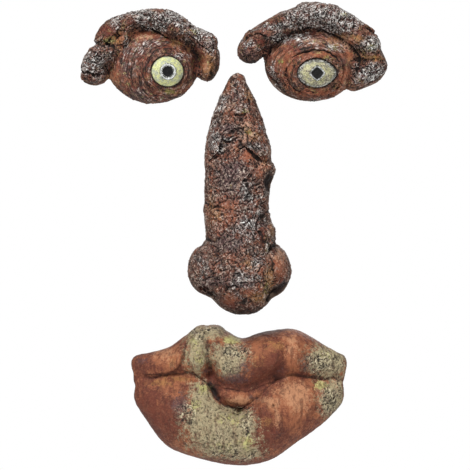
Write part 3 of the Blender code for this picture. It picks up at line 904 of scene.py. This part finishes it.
nose = {
    "node": "nose",
    "piece": "nosePainted",
    "seed": 47,
    "middle": (0.0, 0.0),
    "hole": (0, 42.9),
    "grain": 0.00054,
    "cuts": [
        # Three flaps of bark that hang over the bridge
        ("flap", [(-30, 33), (-26, 37), (-21.7, 41.5), (-18.3, 50.2), (-16.5, 59)], 1.5, 2.6),
        ("flap", [(-17, 54), (-11, 52), (-7, 52.8), (0, 57)], 1.3, 1.8),
        ("flap", [(-2, 55.5), (5, 48.8), (8.3, 44.8), (14.3, 40.2), (25, 31)], 1.5, 2.8),
        ("groove", [(4, 47), (10, 41.5), (16, 37), (22, 32)], 1.4, 0.9),
        ("groove", [(-14, 51), (-8, 50), (-2, 52)], 1.4, 0.6),
        ("groove", [(-27, 32), (-20, 39), (-16, 48)], 1.2, 0.7),
        ("lump", (-2, 40), (13, 9), -2.4),
        ("lump", (-8, 29), (12, 6), 1.4),
        ("groove", [(6, 48), (1, 44), (-5, 39)], 0.9, 1.5),
        # Cracks, swirls and lumps above the flaps
        ("groove", [(-9, 59), (-6, 60.8), (-1, 63.5), (7, 66)], 1.2, 1.4),
        ("lump", (8, 68), (5, 4), 1.8),
        ("ridge", [(2, 65), (6, 70), (12, 71)], 1.0, 1.2),
        ("groove", [(-4, 79.5), (1, 78), (7, 79)], 1.1, 1.8),
        ("lump", (3, 83), (6, 4), 1.4),
        ("knot", (-20.6, 69.7), 4.6, 1.3, 1.8),
        ("knot", (-21, 57), 4.0, 1.2, 1.3),
        ("groove", [(-14, 88), (-10, 82), (-3, 84)], 1.2, 1.6),
        ("groove", [(8, 96), (12, 88), (10, 82)], 1.2, 1.4),
        ("groove", [(14, 60), (19, 56), (22, 60)], 1.2, 1.4),
        # The bridge, its right knuckle and the dark hole under it
        ("lump", (-1.5, 117), (6, 5), 2.4),
        ("lump", (-13, 106), (5, 8), -1.6),
        ("lump", (11, 108), (5, 8), -1.6),
        ("lump", (30.5, 11), (3.5, 8), -6.5),
        ("lump", (33, 24), (4, 6), 2.0),
        ("ridge", [(24, 22), (22, 12), (26, 2)], 2.4, 1.8),
        ("groove", [(13, 20), (11, 17.5), (7.7, 13.5), (3, 12)], 1.2, 2.6),
        ("groove", [(9, 10), (10, 3)], 1.1, 1.6),
        ("ridge", [(-30, 26), (-31, 12), (-32, 0)], 1.5, 1.5),
        ("groove", [(-27, 24), (-27, 12), (-28, 2)], 1.3, 1.2),
        ("lump", (-10, -14), (9, 12), -1.2),
        ("knot", (22, -10), 4.2, 1.2, 0.7),
        ("groove", [(-36, -8), (-28, -13), (-20, -12)], 1.2, 1.2),
        ("lump", (-14, -30), (8, 7), 1.4),
        # Creases over the right wing, with the leaf-shaped pocket between them
        ("groove", [(34, -16), (27, -20), (20, -26), (18, -36)], 1.4, 1.6),
        ("groove", [(21, -36), (23, -42), (26, -51)], 2.2, 2.2),
        ("ridge", [(16, -36), (19, -46), (24, -60)], 1.3, 2.0),
        ("ridge", [(23, -30), (28.3, -40), (31, -47), (35, -55)], 1.2, 2.2),
        ("groove", [(40, -46), (34, -52), (29, -58)], 1.6, 2.6),
        ("groove", [(25, -55), (30, -61), (34, -68), (35, -77), (37, -84), (34, -91), (31, -99)], 2.2, 2.0),
        # Nostrils, the left wing and the tip
        ("lump", (39, -99), (10, 6), -6.5),
        ("groove", [(28, -108), (35, -103), (42, -97), (49, -90)], 3.0, 4.0),
        ("lump", (-35, -97), (9, 4.5), -2.8),
        ("lump", (-29, -108), (12, 7), -3.5),
        ("groove", [(-38, -44), (-32, -46.5), (-24, -48), (-17, -42)], 1.6, 1.2),
        ("groove", [(-19, -50), (-24, -64), (-25, -80), (-20, -92)], 4.0, 1.8),
        ("knot", (-3, -51), 3.4, 1.1, 1.0),
        ("groove", [(-16, -98), (-8, -92), (0, -94)], 1.3, 1.4),
        ("groove", [(0, -112), (6, -106), (14, -108)], 1.3, 1.6),
        ("lump", (-10, -108), (9, 6), -1.4),
        ("lump", (9, -99), (5, 5), -1.2),
    ],
    "smooth": [(-10, -108, 9, 6, 1.0), (41, -70, 7, 16, 1.0), (8, 38, 8, 5, 1.0), (23.5, -43.5, 3, 8, 1.0),
               (9, -99, 5, 5, 0.8), (20, 22, 8, 8, 0.6), (-10, -14, 9, 12, 0.5)],
    "coat": ("umber", "terracotta", "brick"),
    "patches": ["terracotta", "ochre", "brick", "plum", "flesh", "moss"],
    "cover": 0.95,
    "plum": [(-4, 23, 13, 10, 1.4), (-10, -50, 14, 9, 1.4), (0, -88, 16, 8, 1.0), (-28, -88, 12, 6, 0.9),
             (-10, 65, 10, 5, 1.1), (-3, 98, 6, 8, 0.8), (-10, 8, 12, 12, 1.0), (24.5, -31, 3, 4, 0.8),
             (-38, -66, 8, 8, 0.5)],
    "terracotta": [(-9.5, 103, 4, 9, 1.2), (-31, 34, 5, 7, 0.9), (10, 36, 9, 6, 1.2), (-12, -14, 12, 14, 0.6),
                   (-22, 40, 4, 6, 0.6), (4, 72, 14, 5, 0.6), (41, -76, 8, 16, 1.2), (22, 22, 8, 8, 0.7),
                   (-20, -38, 10, 8, 0.5), (8, -99, 7, 6, 1.2), (20, -84, 6, 14, 0.8),
                   (-10, -106, 8, 7, 1.3)],
    "brick": [(-10, 2, 10, 7, 0.9), (-14, -42, 12, 5, 0.8), (-4, -112, 14, 5, 0.7),
              (23.5, -43.5, 3, 8, 1.1), (-37, -96, 8, 5, 1.4), (-26, 36, 4, 4, 0.6),
              (0, -116, 20, 4, 0.9), (-8, -82, 12, 5, 0.5), (44, -88, 6, 8, 0.7)],
    "ochre": [(11, 99, 5, 8, 0.8), (14, 56, 8, 6, 0.7), (30, -85, 5, 12, 1.3), (20, -104, 9, 5, 1.3),
              (33, -37, 3, 8, 1.0), (42, -62, 5, 8, 0.8), (10, -70, 6, 8, 0.7), (-22, -22, 8, 10, 0.5),
              (26, 30, 7, 6, 0.6), (-28, -8, 5, 12, 0.5)],
    "flesh": [(8, 67, 5, 3.5, 1.6), (6.5, 55, 6, 5, 1.0), (-12, 86, 6, 4, 0.7), (30, -62, 3, 6, 0.8),
              (42, -64, 5, 10, 0.6), (20, 28, 6, 6, 0.5), (16, -72, 6, 6, 0.6), (-26, 32, 4, 6, 0.6),
              (31, 40, 4, 12, 0.5)],
    "moss": [(3, 82, 5, 3, 0.7), (9, 61, 4, 3, 0.7), (27, -94, 4, 6, 0.5), (28, -52, 3, 8, 0.5)],
    "frost": [(-2, 110, 7, 12, 0.45), (-18, 90, 8, 10, 0.6), (3, 84, 10, 8, 0.4), (-24, 62, 10, 22, 0.6),
              (-8, 54, 10, 3, 0.7), (18, 44, 9, 7, 0.9), (-21, 44, 6, 6, 0.5), (7, 2, 9, 17, 0.7),
              (10, -32, 12, 22, 0.65), (-6, -36, 14, 6, 0.4), (-38, -72, 11, 16, 0.4), (0, -84, 16, 10, 0.4),
              (14, -82, 10, 12, 0.5), (22, -66, 8, 6, 0.7), (-6, 24, 14, 5, 0.3), (25, 0, 6, 10, 0.4),
              (0, -101, 6, 5, 0.5), (27, 84, 7, 26, 0.4), (29, -50, 5, 10, 0.6), (22, -20, 6, 10, 0.4)],
    "shade": [(30, 11, 5, 9, 1.5), (32, -105, 5, 4, 1.4), (39, -99, 6, 5, 1.7), (45, -93, 5, 5, 1.3),
              (-29.5, -100, 4, 3, 0.9), (5, -107, 4, 3, 0.8), (-1, 61.5, 5, 2, 0.3),
              (4, -118, 26, 5, 0.6), (-44, -84, 5, 14, 0.25)],
    "dryBrush": "frost",
    "faintBrush": "chalk",
    "faint": 0.75,
    "deep": "deep",
    "frostAll": 0.05,
    "greyed": 0.6,
    "foldShade": 0.65,
    "sideShade": 0.65,
    "pitShade": 0.8,
    "marks": 0.65,
    "paleMarks": 0.3,
    "scratch": 0.0044,
    "stroke": 0.055,
    "curls": 0.42,
    "tips": 0.75,
    "stray": 0.8,
    "mottle": 0.4,
    "brushed": 1.0,
}


# Lips

lips = {
    "node": "lips",
    "piece": "lipsPainted",
    "seed": 61,
    "middle": (0.0, -0.141433),
    "hole": (0, 14.3),
    "grain": 0.00056,
    "cuts": [
        # The lower lip's upper edge, drawn from right to left
        ("flap", [(108, 17.7), (94, 16.6), (82, 15.4), (71, 17), (59, 19.5), (47.6, 18.3), (37, 14.8),
                  (29, 8), (24, 1.6), (19, -3), (14, -5.6), (10, -8.2), (6, -11.2), (2.5, -12.7),
                  (-1, -13.2), (-5, -13), (-9.6, -12.2), (-14, -10.6), (-18.2, -8), (-22, -4.4),
                  (-25.5, 0.6), (-29, 6), (-33, 13), (-40, 17), (-49, 21.8), (-65.5, 20.6),
                  (-76, 19.5), (-86, 17), (-93, 16.5), (-110, 17)], 2.4, 1.1),
        ("groove", [(108, 18.7), (82, 17), (59, 20.5), (47, 19.5), (37, 16), (29, 12)], 2.4, 1.4),
        ("groove", [(-29, 9), (-38, 18), (-49, 23), (-65, 21.8), (-86, 18.2), (-110, 18)], 2.2, 1.0),
        ("groove", [(-19, -5), (-24, 1), (-28, 7), (-32, 13)], 1.8, 1.2),
        ("lump", (1, -10), (11, 4), 1.2),
        # The middle lobe, the pocket under it and the ledge in the pocket
        ("flap", [(-26, 14), (-16, 9), (-4.3, 6.8), (7.2, 5.6), (16.5, 8), (26.9, 12.5), (35, 17)], 5.0, 0.9),
        ("lump", (-25, 6), (6, 7), -5.0),
        ("lump", (1, -3), (14, 5), 1.4),
        ("groove", [(47, 56), (48, 45), (45.3, 33.3), (38.4, 23), (35, 15)], 5.0, 2.6),
        ("ridge", [(56, 56), (55, 42), (52, 28)], 4.0, 1.0),
        # The ridge on the left, the groove beside it and the leaf-shaped flap
        ("groove", [(-32.5, 58), (-31.8, 50), (-30.9, 39), (-29.6, 30), (-29, 25)], 2.4, 1.8),
        ("lump", (-29, 73), (24, 9), 2.8),
        ("lump", (-32.5, 71), (5, 6), 2.4),
        ("lump", (-14, 68), (8, 5), 1.6),
        ("ridge", [(-42, 64), (-42, 44), (-40, 24)], 5.0, 1.6),
        ("flap", [(-96, 21), (-91, 21.8), (-79.4, 22.9), (-67.8, 24.7), (-61.5, 28.7), (-58, 36), (-55, 47),
                  (-51, 58)], 1.6, 1.5),
        ("groove", [(-70, 22), (-60, 26), (-56, 34), (-53, 46)], 2.4, 1.6),
        ("knot", (-34.3, 62), 2.6, 1.0, 1.3),
        # Dents, pits and soft swellings of the lower lip
        ("lump", (33.8, -9.4), (2.0, 2.0), -2.8),
        ("groove", [(28, -12), (34, -6), (38, -10)], 1.2, -1.0),
        ("groove", [(18, -12), (19, -26), (17, -44)], 4.0, 1.6),
        ("groove", [(25, -8), (31, -22), (33, -38)], 3.6, 1.6),
        ("ridge", [(32, -6), (40, -22), (43, -38)], 3.6, 1.4),
        ("groove", [(-62, 4), (-58, -12), (-50, -30)], 4.0, 1.4),
        ("groove", [(74, 8), (78, -6), (74, -22)], 3.0, 1.4),
        ("groove", [(66, 44), (69, 32), (66, 22)], 3.0, 1.2),
        ("ridge", [(8, 48), (12, 43), (7, 39), (4, 44)], 1.0, 0.9),
        ("groove", [(-44, -4), (-36, -14), (-33, -8)], 0.9, 0.9),
    ],
    # Turns a place into one along the brush's fine wrinkles
    "grainWay": np.array([(0.16, 0.05, 0.25), (0.1, 0.2, 0.1), (-0.06, 0.05, 0.45)]),
    "coat": ("clay", "clayRed", "clay"),
    "patches": ["clayRed", "clay", "ochre", "tan", "lichen", "plum", "lime"],
    "cover": 0.9,
    "mottle": 0.6,
    "brushed": 3.0,
    "smooth": [(-84, 36, 20, 10, 0.6), (-68, 38, 8, 10, 0.5), (24, 40, 14, 16, 0.7), (52, 40, 10, 22, 1.0),
               (52, -4, 20, 14, 1.0), (-56, 16, 20, 4, 0.7), (-88, -6, 16, 20, 0.7), (0, -4, 14, 5, 0.7),
               (58, -30, 12, 12, 0.6), (30, -34, 14, 16, 0.5)],
    "plum": [(-58, -7, 9, 8, 1.1), (-4, 18, 14, 6, 0.9), (4, 30, 8, 6, 0.6), (41, 26, 5, 10, 0.3),
             (16, -2, 8, 4, 0.5), (-98, 36, 8, 8, 0.5), (66, 34, 5, 10, 0.5), (-32, 25, 4, 3, 0.9),
             (39, -38, 5, 8, 0.3), (3, 47, 3, 4, 0.5)],
    "clayRed": [(-98, 28, 14, 14, 0.9), (-92, -10, 18, 22, 1.0), (26, 26, 18, 14, 1.1), (25, -24, 9, 15, 1.2),
                (41, 26, 6, 14, 0.9), (48, -38, 16, 8, 0.7), (-72, -30, 20, 16, 1.1),
                (24, -48, 14, 14, 1.1), (64, -30, 16, 12, 0.6), (64, 26, 8, 10, 0.9),
                (-28, 16, 7, 8, 1.1), (0, 9, 30, 5, 1.0), (-66, -12, 10, 12, 0.9),
                (-14, -65, 34, 5, 1.0), (4, 14, 20, 6, 0.7), (38, 40, 10, 14, 0.6),
                (-20, -2, 6, 8, 0.9), (0, -11, 16, 3, 0.9)],
    "clay": [(52, -2, 18, 14, 1.1), (54, 46, 9, 20, 1.1), (-68, 38, 10, 12, 1.0), (18, 44, 10, 12, 0.7),
             (-54, 16, 16, 5, 1.0), (56, -28, 8, 12, 0.9)],
    "lichen": [(-43, 46, 10, 24, 1.3), (-11, 39, 18, 15, 1.2), (88, 36, 20, 16, 1.3), (94, -4, 14, 20, 1.1),
               (-27, 65, 17, 6, 1.1), (-36, 2, 12, 9, 1.1), (-28, -16, 22, 14, 1.3),
               (-20, -36, 30, 18, 1.3), (0, -29, 12, 14, 1.0),
               (-6, -54, 28, 9, 0.75), (-8, 26, 10, 8, 0.7), (12, -58, 16, 6, 0.3), (0, -6, 14, 5, -1.6),
               (-15, -3, 6, 4, -1.4), (-22, 5, 5, 6, -1.6), (-29, 22, 5, 6, -0.8)],
    "lime": [(-6, 56, 8, 3.5, 1.5), (9, -43, 5, 6, 0.8), (82, 10.5, 7, 5, 0.9), (-34, 8, 7, 5, 0.7),
             (-46, 56, 5, 6, 0.6), (-44, -8, 8, 6, 0.5), (88, 42, 8, 5, 0.5), (-8, -22, 18, 8, 0.4),
             (-40, 40, 5, 12, 0.4), (-10, -50, 24, 8, 0.3)],
    "tan": [(1, -4, 13, 4, 1.3), (54, 4, 16, 9, 1.0), (26, -4, 7, 3, 0.6), (94, 14, 8, 4, 0.7),
            (52, 52, 7, 12, 0.8), (-72, 42, 16, 9, 0.6), (32, -8, 5, 6, 0.8), (38, -21, 4, 9, 0.9),
            (60, -8, 12, 12, 0.5), (-50, 14, 8, 4, 0.5)],
    "ochre": [(-56, 17, 14, 3, 0.9), (-80, 12, 14, 4, 0.6), (38, 50, 14, 6, 0.6), (28, -26, 6, 6, 0.7),
              (-66, 36, 5, 8, 0.6), (18, 36, 8, 6, 0.5)],
    "frost": [(-44, 60, 10, 8, 0.8), (-40, 36, 7, 12, 0.5), (84, 36, 20, 14, 1.0), (92, -6, 14, 18, 1.2),
              (-52, -15, 11, 12, 1.2), (-4, 44, 14, 10, 1.1), (-28, 66, 16, 5, 0.7),
              (-12, -18, 28, 12, 0.35), (-24, -44, 32, 12, 0.5), (8, -26, 8, 16, 0.7),
              (0, -60, 30, 8, 0.7), (10, 44, 5, 6, 0.7), (-36, 12, 6, 6, 0.6),
              (-8, 28, 14, 8, 0.4), (74, 24, 8, 8, 0.6), (-66, 30, 8, 3, 0.4), (1, -12, 12, 2, 0.6)],
    "shade": [(-29.5, 12.5, 3, 3, 0.8), (-26, 7.5, 3, 3.5, 0.9), (-23, 2.5, 3, 3.5, 0.8),
              (-20, -3, 2.5, 2.5, 0.5), (74, 30, 4, 8, 0.25), (41, -40, 4, 6, 0.2)],
    "dryBrush": "cream",
    "faintBrush": "tan",
    "faint": 0.25,
    "deep": "clayDeep",
    "frostAll": -0.05,
    "greyed": 0.1,
    "foldShade": 0.54,
    "sideShade": 0.55,
    "pitShade": 0.35,
    "marks": 0.3,
    "paleMarks": 0.7,
    "scratch": 0.0034,
    "stroke": 0.05,
    "curls": 0.35,
    "tips": 0.9,
    "stray": 0.3,
}


# Stage: a plain pale floor, soft studio light and the photograph's view

studio = {
    "photoSide": 470,  # pixels
    "originPixel": (239, 193.5),  # where the row's origin shows
    "lens": 300,  # millimetres, as is the sensor
    "sensor": 36,
    "scalePlane": 0.012,  # metres in front of the backs, where the photograph's scale holds
    "floorDrop": 0.27,  # metres below the origin
    "floorRadius": 0.8,
    "skyGlow": 0.38,  # strength of the white light from all round
    # Soft round lamps that shine at the row's origin: place and size in metres, power in watts
    "lamps": [("key", (-0.6, -1.3, 1.5), 0.7, 46), ("fill", (1.1, -1.5, 0.1), 1.2, 8),
              ("back fill", (0.4, 1.6, 0.8), 1.2, 22)],
}


def areaLight(name, place, size, power):
    lamp = bpy.data.lights.new(name, "AREA")
    lamp.shape = "DISK"
    lamp.size = size
    lamp.energy = power
    light = bpy.data.objects.new(name, lamp)
    bpy.context.scene.collection.objects.link(light)
    light.location = place
    light.rotation_euler = (-Vector(place)).to_track_quat("-Z", "Y").to_euler()


def makeStage():
    scene = bpy.context.scene
    scene.view_settings.view_transform = "Standard"
    frameWidth = studio["photoSide"] * square
    middlePixel = studio["photoSide"] / 2
    across = (middlePixel - studio["originPixel"][0]) * square
    up = (studio["originPixel"][1] - middlePixel) * square
    camera = bpy.data.cameras.new("photo view")
    camera.lens = studio["lens"]
    camera.sensor_width = studio["sensor"]
    camera.clip_end = 20
    viewer = bpy.data.objects.new("photo view", camera)
    scene.collection.objects.link(viewer)
    away = studio["scalePlane"] + frameWidth * camera.lens / camera.sensor_width
    viewer.location = (across, -away, up)
    viewer.rotation_euler = (math.pi / 2, 0, 0)
    scene.camera = viewer

    for name, place, size, power in studio["lamps"]:
        areaLight(name, place, size, power)

    world = bpy.data.worlds.new("studio")
    world.use_nodes = True
    scene.world = world
    tree = world.node_tree
    seen = tree.nodes.new("ShaderNodeLightPath")
    backdrop = tree.nodes.new("ShaderNodeBackground")
    backdrop.inputs["Color"].default_value = (1, 1, 1, 1)
    glow = tree.nodes["Background"]
    glow.inputs["Color"].default_value = (1, 1, 1, 1)
    glow.inputs["Strength"].default_value = studio["skyGlow"]
    blend = tree.nodes.new("ShaderNodeMixShader")
    tree.links.new(seen.outputs["Is Camera Ray"], blend.inputs[0])
    tree.links.new(glow.outputs[0], blend.inputs[1])
    tree.links.new(backdrop.outputs[0], blend.inputs[2])
    tree.links.new(blend.outputs[0], tree.nodes["World Output"].inputs["Surface"])

    floorMesh = bpy.data.meshes.new("floor")
    shape = bmesh.new()
    bmesh.ops.create_circle(shape, cap_ends=True, segments=96, radius=studio["floorRadius"])
    shape.to_mesh(floorMesh)
    shape.free()
    floor = bpy.data.objects.new("floor", floorMesh)
    floor.location.z = -studio["floorDrop"]
    scene.collection.objects.link(floor)
    pale = bpy.data.materials.new("pale floor")
    pale.use_nodes = True
    pale.node_tree.nodes["Principled BSDF"].inputs["Base Color"].default_value = (0.82, 0.82, 0.81, 1)
    pale.node_tree.nodes["Principled BSDF"].inputs["Roughness"].default_value = 0.9
    floorMesh.materials.append(pale)


makeStage()
print("stage is set")

for look, workOver in ((leftEye, workEye), (rightEye, workEye), (nose, workNose), (lips, workLips)):
    makePiece(look, workOver)
